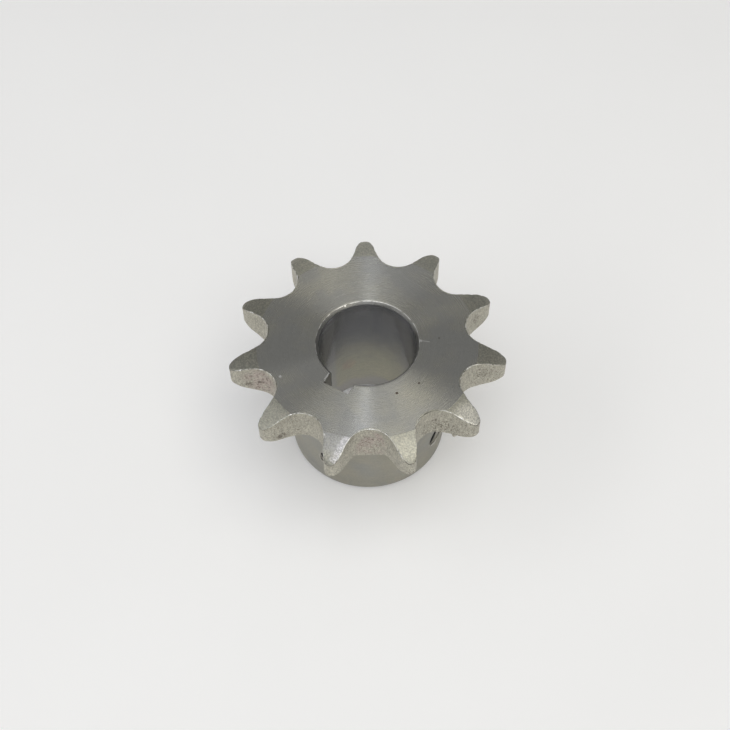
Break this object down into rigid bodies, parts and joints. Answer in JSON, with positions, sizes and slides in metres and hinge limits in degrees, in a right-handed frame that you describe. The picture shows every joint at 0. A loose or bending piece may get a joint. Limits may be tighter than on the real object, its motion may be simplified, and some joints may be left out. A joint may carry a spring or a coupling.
{
  "type": "chain sprocket",
  "caption": "Roller-chain sprocket with a hub on one side, a keyed bore and set screws in the hub.",
  "frame": {"origin": "on the bore's axis, at the hub's end face", "axes": "+Z along the bore from the hub towards the teeth, keyway towards -Y, the second set screw towards +X"},
  "size_m": [0.0504, 0.0502, 0.028],
  "materials": {
    "turned_steel": "bare turned steel, lightly stained",
    "black_screw": "black oxide"
  },
  "bodies": {
    "root": {"sprocket": "turned_steel", "set_screw_over_key": "black_screw", "set_screw_beside_key": "black_screw"}
  },
  "joints": []
}
